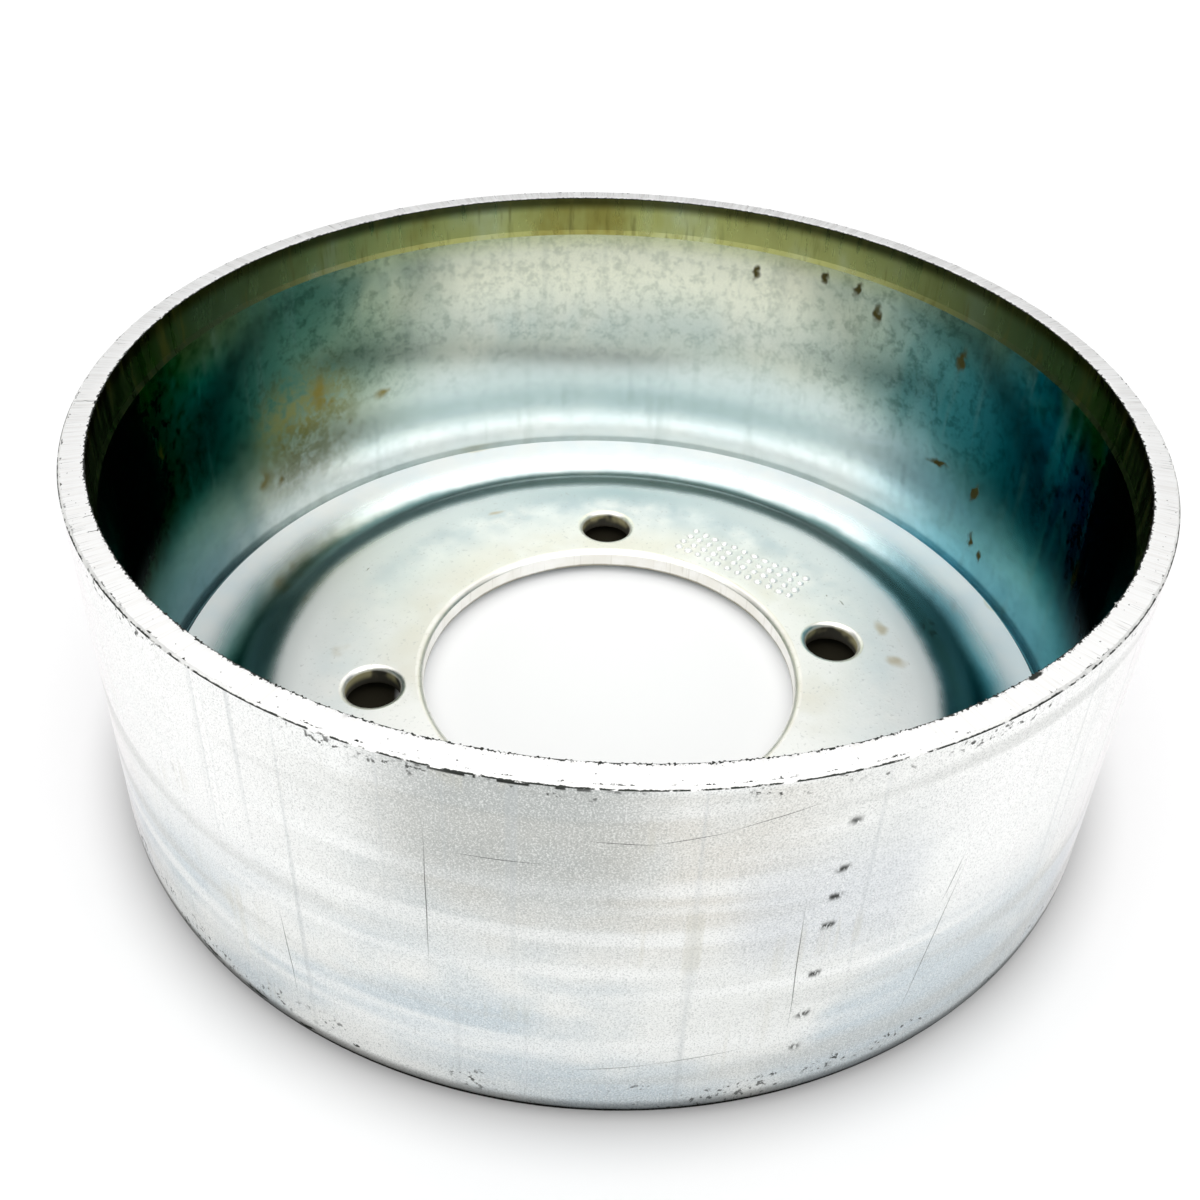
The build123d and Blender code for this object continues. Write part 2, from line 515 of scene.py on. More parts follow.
def mouth_band():
    """The relieved band inside the mouth: plated over oily steel, olive at the back and front, nearly black
    at the sides as painted reflection, and dark along its lip."""
    material, tree, shader, position = metal("mouth_band")
    clouds = speckle(tree, stretched(tree, position, 1, 1, 0.6), 38, 4)
    drawn = speckle(tree, stretched(tree, position, 1, 1, 0.15), 420, 4)
    lip = spread(tree, level_of(tree, position), RIM_LEVEL - 4.0, RIM_LEVEL - 1.2)
    stops = [(0.32, (0.34, 0.31, 0.08)), (0.5, (0.48, 0.50, 0.18)), (0.68, (0.58, 0.64, 0.38))]
    colour = banded(tree, clouds, stops)
    # Painted reflection: the band is made nearly black at the sides, where it mirrors the dark room
    at_sides = spread(tree, sideways_of(tree, position), 0.48, 0.94)
    colour = painted(tree, colour, (0.03, 0.06, 0.03), at_sides, 0.95)
    colour = painted(tree, colour, (0.030, 0.030, 0.008), lip, 0.85)
    colour = painted(tree, colour, (0.12, 0.11, 0.03), spread(tree, drawn, 0.55, 0.75), 0.5)
    shader.inputs["Specular Tint"].default_value = (0.10, 0.14, 0.08, 1.0)
    roughness = spread(tree, drawn, 0.3, 0.7, 0.24, 0.4)
    finished(tree, shader, colour, roughness, drawn, 0.02 * MM)
    return material


# Marks on the friction face, each as (angle, level, width, length), and a lean for the drips
INNER_DRIPS = [(17.7, 63.7, 2.88, 5.88, 12), (6.9, 67.0, 2.52, 4.76, 0), (2.1, 73.7, 2.52, 6.44, -10),
               (1.4, 66.2, 2.7, 5.88, 15), (-2.3, 61.3, 3.24, 7.0, -12), (-13.3, 75.7, 2.52, 6.16, 0),
               (-17.7, 60.0, 3.24, 8.68, 8), (-17.3, 29.2, 9.36, 2.52, -12), (-25.3, 28.4, 3.42, 8.96, 14),
               (-26.5, 15.1, 2.7, 6.16, 0), (-28.9, 13.4, 2.16, 4.2, 20), (-51.5, 37.7, 3.96, 10.5, 6),
               (121.0, 52.0, 3.06, 7.0, -8), (-160.0, 58.0, 2.88, 7.0, 10), (-128.0, 44.0, 2.7, 6.3, -6)]
OILY_AREAS = [(91.0, 30.0, 70.0, 46.0), (-170.0, 36.0, 50.0, 34.0)]
OLIVE_SPOTS = [(97.1, 18.8, 4.0, 8.0), (86.4, 34.4, 5.0, 5.5), (84.1, 26.6, 5.5, 3.0),
               (77.7, 30.3, 6.0, 3.0), (88.1, 37.2, 9.0, 13.0), (95.3, 29.4, 8.0, 14.0),
               (100.4, 22.6, 9.0, 10.0), (-175.0, 40.0, 9.0, 15.0)]


def friction_face():
    """The turned friction face: thin plate with a soft mottle, oily stains and brown drips. It
    stays smooth, so that it mirrors the step and the web."""
    material, tree, shader, position = metal("friction_face")
    level = level_of(tree, position)
    rightward = nearness(tree, round_of(tree, position), RIGHT)
    sideways = sum_up(tree, "ABSOLUTE", rightward)
    drawn = speckle(tree, stretched(tree, position, 1, 1, 0.12), 240, 2)
    clouds = speckle(tree, stretched(tree, position, 1, 1, 0.6), 30, 3, 0.6, 0.5)
    mottle = speckle(tree, position, 320, 3, 0.75)
    colour = friction_colour_with_painted_reflection(tree, rightward, sideways, level, clouds)
    colour = painted(tree, colour, (0.20, 0.28, 0.25), spread(tree, drawn, 0.52, 0.72), 0.15)
    colour = painted(tree, colour, (0.22, 0.30, 0.27), spread(tree, mottle, 0.44, 0.68),
                     spread(tree, level, 22, 44, 0.1, 0.30), spread(tree, sideways, 0.4, 0.8, 1.0, 2.0),
                     kind="MULTIPLY")
    oily = marks(tree, position, [on_wall(friction_radius, *area) for area in OILY_AREAS], 1.0)
    colour = painted(tree, colour, (0.32, 0.30, 0.11), oily, spread(tree, clouds, 0.8, 0.35),
                     spread(tree, mottle, 0.34, 0.60))
    spots = [on_wall(friction_radius, *spot) for spot in OLIVE_SPOTS]
    spotted = marks(tree, wavered(tree, position, 110, 7 * MM), spots, 0.9)
    colour = painted(tree, colour, OLIVE_STAIN, spotted,
                     spread(tree, speckle(tree, position, 160, 2), 0.38, 0.52), 0.9)
    drips = [on_wall(friction_radius, *drip) for drip in INNER_DRIPS]
    dripped = marks(tree, wavered(tree, position, 420, 3.2 * MM), drips, 0.7)
    colour = painted(tree, colour, BROWN_STAIN, dripped)
    shader.inputs["Specular Tint"].default_value = (0.10, 0.22, 0.20, 1.0)
    shader.inputs["Anisotropic"].default_value = 0.5
    upwards = add_node(tree, "ShaderNodeCombineXYZ", {"Z": 1.0}).outputs[0]
    tree.links.new(upwards, shader.inputs["Tangent"])
    roughness = sum_up(tree, "ADD", spread(tree, clouds, 0.3, 0.7, 0.16, 0.19), times(tree, dripped, 0.08))
    roughness = sum_up(tree, "ADD", roughness, spread(tree, level, 40, 14, 0.0, 0.06))
    metallic = spread(tree, level, 22, 38, LOW_FRICTION_METALLIC, 1.0)
    tree.links.new(metallic, shader.inputs["Metallic"])
    finished(tree, shader, colour, roughness)
    return material


def friction_colour_with_painted_reflection(tree, rightward, sideways, level, clouds):
    """The friction face's colour, with painted reflection: palest low at the back and front, deep teal at the
    sides, bluer to the right and olive to the left; also olive towards the mouth."""
    across = sum_up(tree, "ADD", sideways, times(tree, sum_up(tree, "SUBTRACT", clouds, 0.5), 0.5))
    across = sum_up(tree, "SUBTRACT", across, spread(tree, level, 46, 16, 0.0, 0.42))
    colour = banded(tree, clouds, [(0.34, (0.50, 0.58, 0.54)), (0.66, (0.66, 0.70, 0.62))])
    colour = painted(tree, colour, (0.88, 0.90, 0.74), spread(tree, level, 42, 60), 0.85)
    # Painted reflection: paler low down, where the wall mirrors the bright web and ring
    colour = painted(tree, colour, (0.90, 0.95, 0.94), spread(tree, level, 40, 24), 0.9)
    # Painted reflection: deep teal to nearly black at the sides, bluer to the right and olive to the left,
    # where the wall mirrors the dark room
    colour = painted(tree, colour, (0.05, 0.20, 0.20), spread(tree, across, 0.35, 0.88), 0.94)
    colour = painted(tree, colour, (0.0, 0.06, 0.07), spread(tree, sideways, 0.80, 0.98),
                     spread(tree, level, 12, 46, 0.15, 0.95))
    colour = painted(tree, colour, (0.38, 0.80, 0.94), spread(tree, rightward, 0.60, 0.90), kind="MULTIPLY")
    colour = painted(tree, colour, (0.70, 0.74, 0.56), spread(tree, rightward, -0.45, -0.80),
                     spread(tree, level, 8, 30), kind="MULTIPLY")
    colour = painted(tree, colour, (0.12, 0.26, 0.30), spread(tree, rightward, -0.86, -0.99),
                     spread(tree, level, 36, 16), 0.75)
    colour = painted(tree, colour, (0.06, 0.08, 0.03), spread(tree, level, 54, 71),
                     spread(tree, across, 0.5, 0.9), spread(tree, clouds, 0.65, 0.4), 0.8)
    return painted(tree, colour, (0.62, 0.66, 0.38), spread(tree, level, 64, 71),
                   spread(tree, sideways, 0.85, 0.5), 0.85)


# Marks on the foot ring and on the web, each as (reach, angle, width, length)
FOOT_STAINS = [(100.5, 62.0, 2.0, 26.0), (100.8, -36.0, 1.6, 22.0), (92.0, 150.0, 5.0, 18.0)]
WEB_HANDLED = (52.4, -0.9, 24.0, 52.0)
WEB_STAINS = [(72.0, -41.8, 6.0, 7.0), (68.0, -49.0, 7.0, 6.0), (67.3, -38.0, 4.0, 7.0),
              (62.0, 128.0, 5.0, 8.0), (58.0, -150.0, 6.0, 6.0), (66.0, 66.0, 3.0, 7.0)]
WEB_DASHES = [(63.0, -27.7, 0.6, 2.4), (61.0, -24.0, 0.8, 0.9), (69.0, 101.0, 0.5, 2.0),
              (55.0, 170.0, 2.2, 0.5)]


def web_edge_colour(tree, sideways):
    """The colour where the step runs out into the web, painted as reflection: blue-grey at the back and
    front, paler at the sides."""
    return blended(tree, sideways, (0.47, 0.60, 0.62), (0.93, 0.95, 0.94))


def foot_ring():
    """The foot ring and the curved step: dull and pale next to the wall, smooth and painted dark on the step
    as reflection, and satin again where it runs out into the web."""
    material, tree, shader, position = metal("foot_ring")
    clouds = speckle(tree, position, 60, 3)
    sideways = sideways_of(tree, position)
    wander = times(tree, sum_up(tree, "SUBTRACT", clouds, 0.5), 3.0)
    reach = sum_up(tree, "ADD", reach_of(tree, position), wander)
    curved = sum_up(tree, "SUBTRACT", reach, times(tree, sideways, sideways, 3.5))
    webward = spread(tree, curved, WEB_BEND_REACH + 4.5, WEB_BEND_REACH - 0.5)
    wallward = spread(tree, reach, FOOT_BEND_REACH + 2.4, FOOT_BEND_REACH + 12.4)
    colour = banded(tree, clouds, [(0.35, (0.88, 0.93, 0.95)), (0.65, (0.96, 0.97, 0.96))])
    # Painted reflection: the step is coloured dark teal all round, for the dark room it mirrors
    colour = painted(tree, colour, (0.08, 0.18, 0.18),
                     spread(tree, curved, WEB_BEND_REACH - 1.5, WEB_BEND_REACH + 6.0),
                     spread(tree, curved, FOOT_BEND_REACH + 0.9, FOOT_BEND_REACH - 3.6), 0.94)
    colour = painted(tree, colour, web_edge_colour(tree, sideways), webward)
    stains = [on_flat(plate_thickness, *stain) for stain in FOOT_STAINS]
    stained = marks(tree, wavered(tree, position, 90, 6 * MM), stains, 0.9)
    colour = painted(tree, colour, (0.62, 0.58, 0.38), stained, 0.5)
    dulled = times(tree, wallward, spread(tree, sideways, 0.0, 0.8, 0.6, 0.95))
    dulled = sum_up(tree, "ADD", times(tree, webward, 1 - WEB_METALLIC), dulled)
    tree.links.new(sum_up(tree, "SUBTRACT", 1.0, dulled), shader.inputs["Metallic"])
    roughness = spread(tree, strongest(tree, webward, wallward), 0.0, 1.0, 0.14, 0.44)
    finished(tree, shader, colour, roughness)
    return material


def pressed_web():
    """The flat web: satin zinc on pressed plate, cloudy and blue-grey towards the step, bluest at the back
    as painted reflection, and warmer towards the bore, with faint rusty blotches."""
    material, tree, shader, position = metal("pressed_web")
    shader.inputs["Metallic"].default_value = WEB_METALLIC
    reach = reach_of(tree, position)
    grain = speckle(tree, position, 1100, 2)
    mottle = speckle(tree, position, 130, 3, 0.5)
    clouds = speckle(tree, position, 40, 3)
    backward = spread(tree, nearness(tree, round_of(tree, position), BACK), 0.2, 0.95, 0.35, 1.0)
    colour = banded(tree, clouds, [(0.36, (0.91, 0.95, 0.94)), (0.64, (0.98, 0.98, 0.95))])
    # Cloudy blue-grey plate tint, made strongest at the back as painted reflection of the wall
    colour = painted(tree, colour, (0.50, 0.62, 0.66),
                     spread(tree, reach, BORE_REACH + 5.0, WEB_BEND_REACH - 1.0),
                     spread(tree, mottle, 0.15, 0.75), backward, 0.95)
    # Painted reflection where the web meets the step, as on the step itself
    at_edge = spread(tree, reach, WEB_BEND_REACH - 8.0, WEB_BEND_REACH - 0.5)
    colour = painted(tree, colour, web_edge_colour(tree, sideways_of(tree, position)), at_edge)
    handled = marks(tree, wavered(tree, position, 90, 8 * MM), [on_flat(web_top, *WEB_HANDLED)], 0.9)
    colour = painted(tree, colour, (0.60, 0.66, 0.64), handled, 0.55)
    colour = painted(tree, colour, (0.86, 0.82, 0.71),
                     spread(tree, reach, BORE_REACH + 19.0, BORE_REACH + 3.0),
                     spread(tree, clouds, 0.62, 0.4), 0.7)
    stains = [on_flat(web_top, *stain) for stain in WEB_STAINS]
    stained = marks(tree, wavered(tree, position, 150, 6 * MM), stains, 0.9)
    colour = painted(tree, colour, (0.58, 0.50, 0.34), stained, spread(tree, mottle, 0.36, 0.56), 0.8)
    dashes = [on_flat(web_top, *dash) for dash in WEB_DASHES]
    dashed = marks(tree, wavered(tree, position, 700, 0.8 * MM), dashes, 0.6)
    colour = painted(tree, colour, (0.25, 0.24, 0.19), dashed, 0.7)
    colour = painted(tree, colour, (0.42, 0.44, 0.42), spread(tree, grain, 0.6, 0.74), 0.3)
    roughness = spread(tree, mottle, 0.3, 0.7, 0.41, 0.49)
    finished(tree, shader, colour, roughness, grain, 0.03 * MM)
    return material


def peened_zinc():
    """The peened dots: burnished by the tool, crowns painted white as highlight, feet painted darker as
    shade.
    """
    material, tree, shader, position = metal("peened_zinc")
    shader.inputs["Metallic"].default_value = WEB_METALLIC
    fine = speckle(tree, position, 1400, 2)
    # Painted highlight and shade: white on each dot's crown, darker round its foot
    crown = spread(tree, level_of(tree, position), WEB_LEVEL, WEB_LEVEL + 0.05)
    colour = painted(tree, (0.55, 0.58, 0.52), (1.0, 1.0, 0.99), crown)
    finished(tree, shader, colour, spread(tree, fine, 0.3, 0.7, 0.26, 0.38), fine, 0.02 * MM)
    return material


def punched_edge():
    """The bore and the bolt holes: bright rolled edges and sheared walls, painted dark brown below as shade
    under the web. The bolt holes are painted dark inside as shade, black at the foot and olive higher up."""
    material, tree, shader, position = metal("punched_edge")
    level = level_of(tree, position)
    upright = speckle(tree, stretched(tree, position, 1, 1, 0.05), 1200, 3)
    clouds = speckle(tree, position, 90, 3)
    uneven_level = sum_up(tree, "ADD", level, clouds)
    off_bore = spread(tree, reach_of(tree, position), BORE_REACH + 2.2, BORE_REACH + 2.6)
    in_bolt_hole = times(tree, off_bore, spread(tree, uneven_level, WEB_LEVEL + 0.1, WEB_LEVEL - 0.7))
    colour = banded(tree, clouds, [(0.35, (0.88, 0.86, 0.80)), (0.65, (0.97, 0.96, 0.93))])
    colour = painted(tree, colour, (0.60, 0.57, 0.50), spread(tree, upright, 0.58, 0.7), 0.3)
    # Painted shade: the walls go dark brown low down, under the web
    colour = painted(tree, colour, (0.20, 0.18, 0.12), spread(tree, uneven_level, 3.7, 3.1), 0.85)
    # Painted shade inside the bolt holes: black at the foot, olive higher up
    painted_hole_shade = painted(tree, (0.016, 0.013, 0.005), (0.42, 0.38, 0.20), spread(tree, level, 3.4, 5.4),
                  spread(tree, clouds, 0.40, 0.52))
    colour = painted(tree, colour, painted_hole_shade, in_bolt_hole, 0.97)
    tree.links.new(sum_up(tree, "SUBTRACT", 1.0, in_bolt_hole), shader.inputs["Metallic"])
    roughness = spread(tree, upright, 0.3, 0.7, 0.30, 0.42)
    roughness = sum_up(tree, "ADD", roughness, times(tree, in_bolt_hole, 0.4))
    finished(tree, shader, colour, roughness, upright, 0.004 * MM)
    return material


# Scores under the foot ring and under the web, each as (flat height, reach, angle, width, length)
UNDER_SCORES = [(0.0, 96.0, 20.0, 0.3, 22.0), (0.0, 94.0, 130.0, 0.35, 30.0),
                (0.0, 98.0, -100.0, 0.3, 26.0), (web_underside, 60.0, 80.0, 14.0, 0.3)]


def zinc_underside():
    """The underside: the same plate, rubbed bright where it stands, with a few scores."""
    material, tree, shader, position = metal("zinc_underside")
    reach = reach_of(tree, position)
    grain = speckle(tree, position, 900, 4)
    clouds = speckle(tree, position, 35, 5)
    turned = speckle(tree, stretched(tree, round_of(tree, position), 1, 1, 0), 14, 3)
    rubbed = times(tree, spread(tree, reach, 86, 92), spread(tree, reach, 103, 100),
                   spread(tree, turned, 0.35, 0.6))
    colour = banded(tree, clouds, [(0.35, (0.58, 0.63, 0.66)), (0.65, (0.74, 0.75, 0.72))])
    colour = painted(tree, colour, (0.84, 0.84, 0.82), rubbed, 0.6)
    colour = painted(tree, colour, (0.34, 0.35, 0.34), spread(tree, grain, 0.6, 0.74), 0.35)
    scores = [on_flat(*score) for score in UNDER_SCORES]
    scored = marks(tree, wavered(tree, position, 50, 1.2 * MM), scores, 0.6)
    colour = painted(tree, colour, (0.20, 0.21, 0.20), scored, 0.7)
    roughness = sum_up(tree, "SUBTRACT", spread(tree, grain, 0.3, 0.7, 0.36, 0.5), times(tree, rubbed, 0.1))
    finished(tree, shader, colour, roughness, grain, 0.03 * MM)
    return material


# ---------------------------------------------------------------------------------------
# The drum
# ---------------------------------------------------------------------------------------


def arc(centre, radius, start, end, steps):
    """Points of (radius, height) along an arc, from a start angle to an end angle in degrees."""
    angles = [radians(start + (end - start) * step / steps) for step in range(steps + 1)]
    return [(centre[0] + radius * cos(angle), centre[1] + radius * sin(angle)) for angle in angles]


def straight(start, end, steps):
    """Points of (radius, height) along a line."""
    shares = [step / steps for step in range(steps + 1)]
    return [tuple(a + (b - a) * share for a, b in zip(start, end)) for share in shares]


def foot_curve():
    """Points of (radius, height) where the foot ring lifts towards the wall, what the turning
    tool left of the corner that was pressed there. They run in from the groove."""
    steps = 8
    shares = [1 - step / steps for step in range(steps + 1)]
    inner = groove_radius - foot_rise_width
    return [(inner + foot_rise_width * share, plate_thickness + foot_rise * share ** 2) for share in shares]


def drum_section():
    """The drum's half section as runs of (finish, points): out along the underside, up the
    outside and down the inside. The flat web between its first and last points is added later."""
    upper_centre = (seat_radius, web_top - step_upper_radius)
    lower_centre = (foot_radius, plate_thickness + step_lower_radius)
    corner = (outer_radius - outer_corner_radius, outer_corner_radius)
    inner_edge = (mouth_radius + rim_inner_rounding, height - rim_inner_rounding)
    bevel_foot = height - mouth_depth - mouth_bevel_length
    nose = (friction_radius - groove_nose_radius, groove_floor + groove_nose_radius)
    upper_outside = step_upper_radius - plate_thickness
    lower_outside = step_lower_radius + plate_thickness
    wall_top = height - rim_outer_chamfer
    rim_outer = outer_radius - rim_outer_chamfer
    foot_inner = groove_radius - foot_rise_width - edge_strip
    return [
        ("zinc_underside", [(seat_radius - edge_strip, web_underside)]
            + arc(upper_centre, upper_outside, 90, 90 - step_turn, steps=6)
            + arc(lower_centre, lower_outside, 270 - step_turn, 270, steps=8)[1:]
            + [(corner[0], 0)]),
        ("zinc_outer_wall", arc(corner, outer_corner_radius, -90, 0, steps=12)
            + straight((outer_radius, corner[1]), (outer_radius, wall_top), steps=4)[1:]),
        ("burred_edge", straight((outer_radius, wall_top), (rim_outer, height), steps=2)),
        ("turned_rim", straight((rim_outer, height), (inner_edge[0], height), steps=3)),
        ("burred_edge", arc(inner_edge, rim_inner_rounding, 90, 180, steps=6)),
        ("mouth_band", straight((mouth_radius, inner_edge[1]), (mouth_radius, height - mouth_depth), steps=2)
            + [(friction_radius, bevel_foot)]),
        ("friction_face", straight((friction_radius, bevel_foot), (friction_radius, nose[1]), steps=4)
            + arc(nose, groove_nose_radius, 0, -90, steps=6)[1:]
            + [(groove_radius, groove_floor)]),
        ("foot_ring", straight((groove_radius, groove_floor), foot_curve()[0], steps=2)
            + foot_curve()[1:]
            + straight((foot_inner, plate_thickness), (foot_radius + edge_strip, plate_thickness), steps=3)
            + [(foot_radius, plate_thickness)]
            + arc(lower_centre, step_lower_radius, 270, 270 - step_turn, steps=14)[1:]
            + arc(upper_centre, step_upper_radius, 90 - step_turn, 90, steps=12)[1:]
            + [(seat_radius - edge_strip, web_top)]),
    ]


def hole_section(radius, edge_radius, edge_turn):
    """The half section of a punched hole as (finish, points), from the web's upper face down."""
    start = radius + edge_radius * sin(radians(edge_turn))
    edge_foot = web_top - edge_radius * (1 - cos(radians(edge_turn)))
    return [
        ("pressed_web", [(start + edge_strip, web_top), (start, web_top)]),
        ("punched_edge", arc((start, web_top - edge_radius), edge_radius, 90, 90 + edge_turn, steps=8)
            + straight((radius, edge_foot), (radius, web_underside), steps=4)[1:]),
        ("zinc_underside", [(radius, web_underside), (radius + edge_strip, web_underside)]),
    ]


def ring_of(bm, centre, radius, level, turns, uneven):
    """A ring of vertices about an upright axis. uneven, if not None, gives their offsets in radius."""
    ring = []
    for step in range(turns):
        angle = 2 * pi * step / turns
        reach = radius + (uneven(angle) if uneven else 0.0)
        ring.append(bm.verts.new((centre[0] + reach * cos(angle), centre[1] + reach * sin(angle), level)))
    return ring


def ragged(angle, amount):
    """The offset in radius of a burred edge at this angle: mostly slight, with a few deeper nicks."""
    around = Vector((cos(angle), sin(angle), 0))
    broad = noise.noise(around * 21.0)
    fine = noise.noise(around * 96.0 + Vector((5.0, 3.0, 1.0)))
    return amount * max(-1.0, min(1.0, fine * (0.7 + 1.6 * max(0.0, broad))))


def turn_section(bm, section, finishes, centre, turns):
    """Turns runs of (finish, points) about an upright axis, and returns the first and last rings."""
    first = last = None
    for finish, points in section:
        uneven = (lambda angle: ragged(angle, burr_reach)) if finish == "burred_edge" else None
        for place, (radius, level) in enumerate(points):
            if place == 0 and last is not None:
                continue
            outermost = radius > outer_radius - edge_strip
            ring = ring_of(bm, centre, radius, level, turns, None if outermost else uneven)
            first = first or ring
            if last is not None:
                for step in range(turns):
                    after = (step + 1) % turns
                    face = bm.faces.new((last[step], last[after], ring[after], ring[step]))
                    face.material_index = finishes.index(finish)
            last = ring
    return first, last


def fill_web(bm, rings, facing_up, finish_index):
    """Fills the flat of the web between its rings of vertices, facing up at 1 and down at -1."""
    edges = []
    for ring in rings:
        edges += [bm.edges.get((a, b)) or bm.edges.new((a, b)) for a, b in zip(ring, ring[1:] + ring[:1])]
    made = bmesh.ops.triangle_fill(bm, use_beauty=True, use_dissolve=False, edges=edges,
                                   normal=(0, 0, facing_up))
    for piece in made["geom"]:
        if isinstance(piece, bmesh.types.BMFace):
            piece.material_index = finish_index


def make_drum():
    """The whole drum in one mesh, with a finish for each of its surfaces."""
    makers = (zinc_outer_wall, turned_rim, burred_edge, mouth_band, friction_face, foot_ring, pressed_web,
              punched_edge, zinc_underside)
    finishes = [maker.__name__ for maker in makers]
    bm = bmesh.new()
    outer_low, outer_high = turn_section(bm, drum_section(), finishes, (0, 0), turns_round_drum)
    tops, bottoms = [outer_high], [outer_low]
    holes = [((0, 0), bore_radius, bore_edge_radius, bore_edge_turn, turns_round_drum // 2)]
    for side_x in (-1, 1):
        for side_y in (-1, 1):
            place = (side_x * bolt_reach_x, side_y * bolt_reach_y)
            holes.append((place, bolt_hole_radius, bolt_edge_radius, bolt_edge_turn, turns_round_hole))
    for centre, radius, edge_radius, edge_turn, turns in holes:
        section = hole_section(radius, edge_radius, edge_turn)
        top, bottom = turn_section(bm, section, finishes, centre, turns)
        tops.append(top)
        bottoms.append(bottom)
    fill_web(bm, tops, 1, finishes.index("pressed_web"))
    fill_web(bm, bottoms, -1, finishes.index("zinc_underside"))
    bmesh.ops.recalc_face_normals(bm, faces=bm.faces)
    for face in bm.faces:
        face.smooth = True
    for edge in bm.edges:
        edge.smooth = edge.calc_face_angle(pi) < radians(sharp_turn)
    mesh = bpy.data.meshes.new("drum")
    bm.to_mesh(mesh)
    bm.free()
    for maker in makers:
        mesh.materials.append(maker())
    drum = bpy.data.objects.new("drum", mesh)
    bpy.context.scene.collection.objects.link(drum)
    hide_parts("brake_drum")
    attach(drum, "root")
    return drum


# ---------------------------------------------------------------------------------------
# Small repeated shapes: peened dots on the web and burrs along the rim's inner edge
# ---------------------------------------------------------------------------------------

PEENED_PLACE = (52.6 * MM, -1.0 * MM, web_top)
PEENED_TURN = -86.0
PEENED_SIZES = {"Length": 33.0 * MM, "Width": 8.6 * MM, "Dots Along": 12, "Dots Across": 4,
                "Dot Radius": 1.08 * MM, "Jitter": 0.16 * MM}
BURR_SIZES = {"Edge Radius": mouth_radius, "Places": 820, "Share": 0.42, "Burr Size": 0.27 * MM}


def placed_at(tree, geometry, place, turn=0.0):
    """A geometry moved to a place and turned about its own upright axis, in degrees."""
    inputs = {"Geometry": geometry, "Translation": place, "Rotation": (0.0, 0.0, radians(turn))}
    return add_node(tree, "GeometryNodeTransform", inputs).outputs[0]


def repeated_on(tree, points, shape, chosen, scale):
    """A shape on some of the points, each with its own scale."""
    inputs = {"Points": points, "Instance": shape, "Selection": chosen, "Scale": scale}
    return add_node(tree, "GeometryNodeInstanceOnPoints", inputs).outputs[0]


def any_vector(tree, low, high, seed):
    """A random vector between two corners, different at every point."""
    drawn = add_node(tree, "FunctionNodeRandomValue", data_type="FLOAT_VECTOR")
    drawn.inputs["Min"].default_value, drawn.inputs["Max"].default_value = low, high
    drawn.inputs["Seed"].default_value = seed
    return drawn.outputs["Value"]


def peened_dots(tree, sizes):
    """A plain lattice of small raised dots, a little uneven, as a peening tool leaves them."""
    lattice = {"Size X": sizes["Length"], "Size Y": sizes["Width"]}
    lattice.update({"Vertices X": sizes["Dots Along"], "Vertices Y": sizes["Dots Across"]})
    grid = add_node(tree, "GeometryNodeMeshGrid", lattice).outputs[0]
    stray = any_vector(tree, (-1, -1, 0), (1, 1, 0), 4)
    push = add_node(tree, "ShaderNodeVectorMath", {0: stray, "Scale": sizes["Jitter"]}, operation="SCALE")
    moved = {"Geometry": grid, "Offset": push.outputs[0]}
    moved = add_node(tree, "GeometryNodeSetPosition", moved).outputs[0]
    ball = {"Segments": 10, "Rings": 6, "Radius": sizes["Dot Radius"]}
    dot = add_node(tree, "GeometryNodeMeshUVSphere", ball)
    scale = any_vector(tree, (0.8, 0.8, 0.45), (1.15, 1.15, 0.70), 9)
    dots = repeated_on(tree, moved, dot.outputs[0], True, scale)
    return placed_at(tree, dots, PEENED_PLACE, PEENED_TURN)


def rim_burrs(tree, sizes):
    """Small torn burrs along the inner edge of the rim, in broken runs."""
    edge = {"Radius": sizes["Edge Radius"], "Vertices": sizes["Places"]}
    circle = add_node(tree, "GeometryNodeMeshCircle", edge).outputs[0]
    chance = add_node(tree, "FunctionNodeRandomValue", data_type="BOOLEAN")
    tree.links.new(sizes["Share"], chance.inputs["Probability"])
    chance.inputs["Seed"].default_value = 3
    flake = add_node(tree, "GeometryNodeMeshIcoSphere", {"Radius": sizes["Burr Size"], "Subdivisions": 1})
    scale = any_vector(tree, (0.35, 0.35, 0.15), (1.3, 1.3, 0.4), 12)
    flakes = repeated_on(tree, circle, flake.outputs[0], chance.outputs["Value"], scale)
    return placed_at(tree, flakes, (0.0, 0.0, height - rim_inner_rounding))


def repeat_shape(name, shape, sizes, finish):
    """Makes a piece from one of these trees, as a plain mesh that rides with the drum."""
    tree = bpy.data.node_groups.new(name, "GeometryNodeTree")
    tree.interface.new_socket("Geometry", in_out="OUTPUT", socket_type="NodeSocketGeometry")
    sockets = {}
    for label, value in sizes.items():
        kind = "NodeSocketInt" if isinstance(value, int) else "NodeSocketFloat"
        sockets[label] = tree.interface.new_socket(label, in_out="INPUT", socket_type=kind).identifier
    inlet = add_node(tree, "NodeGroupInput")
    outlet = add_node(tree, "NodeGroupOutput")
    made = shape(tree, {label: inlet.outputs[label] for label in sizes})
    whole = add_node(tree, "GeometryNodeRealizeInstances", {"Geometry": made})
    coated = add_node(tree, "GeometryNodeSetMaterial", {"Geometry": whole.outputs[0], "Material": finish})
    tree.links.new(coated.outputs[0], outlet.inputs[0])
    piece = bpy.data.objects.new(name, bpy.data.meshes.new(name + "_points"))
    bpy.context.scene.collection.objects.link(piece)
    modifier = piece.modifiers.new(name, "NODES")
    modifier.node_group = tree
    for label, value in sizes.items():
        modifier[sockets[label]] = value
    evaluated = piece.evaluated_get(bpy.context.evaluated_depsgraph_get())
    mesh = bpy.data.meshes.new_from_object(evaluated)
    piece.modifiers.clear()
    piece.data = mesh
    mesh.shade_smooth()
    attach(piece, "root")
    return piece


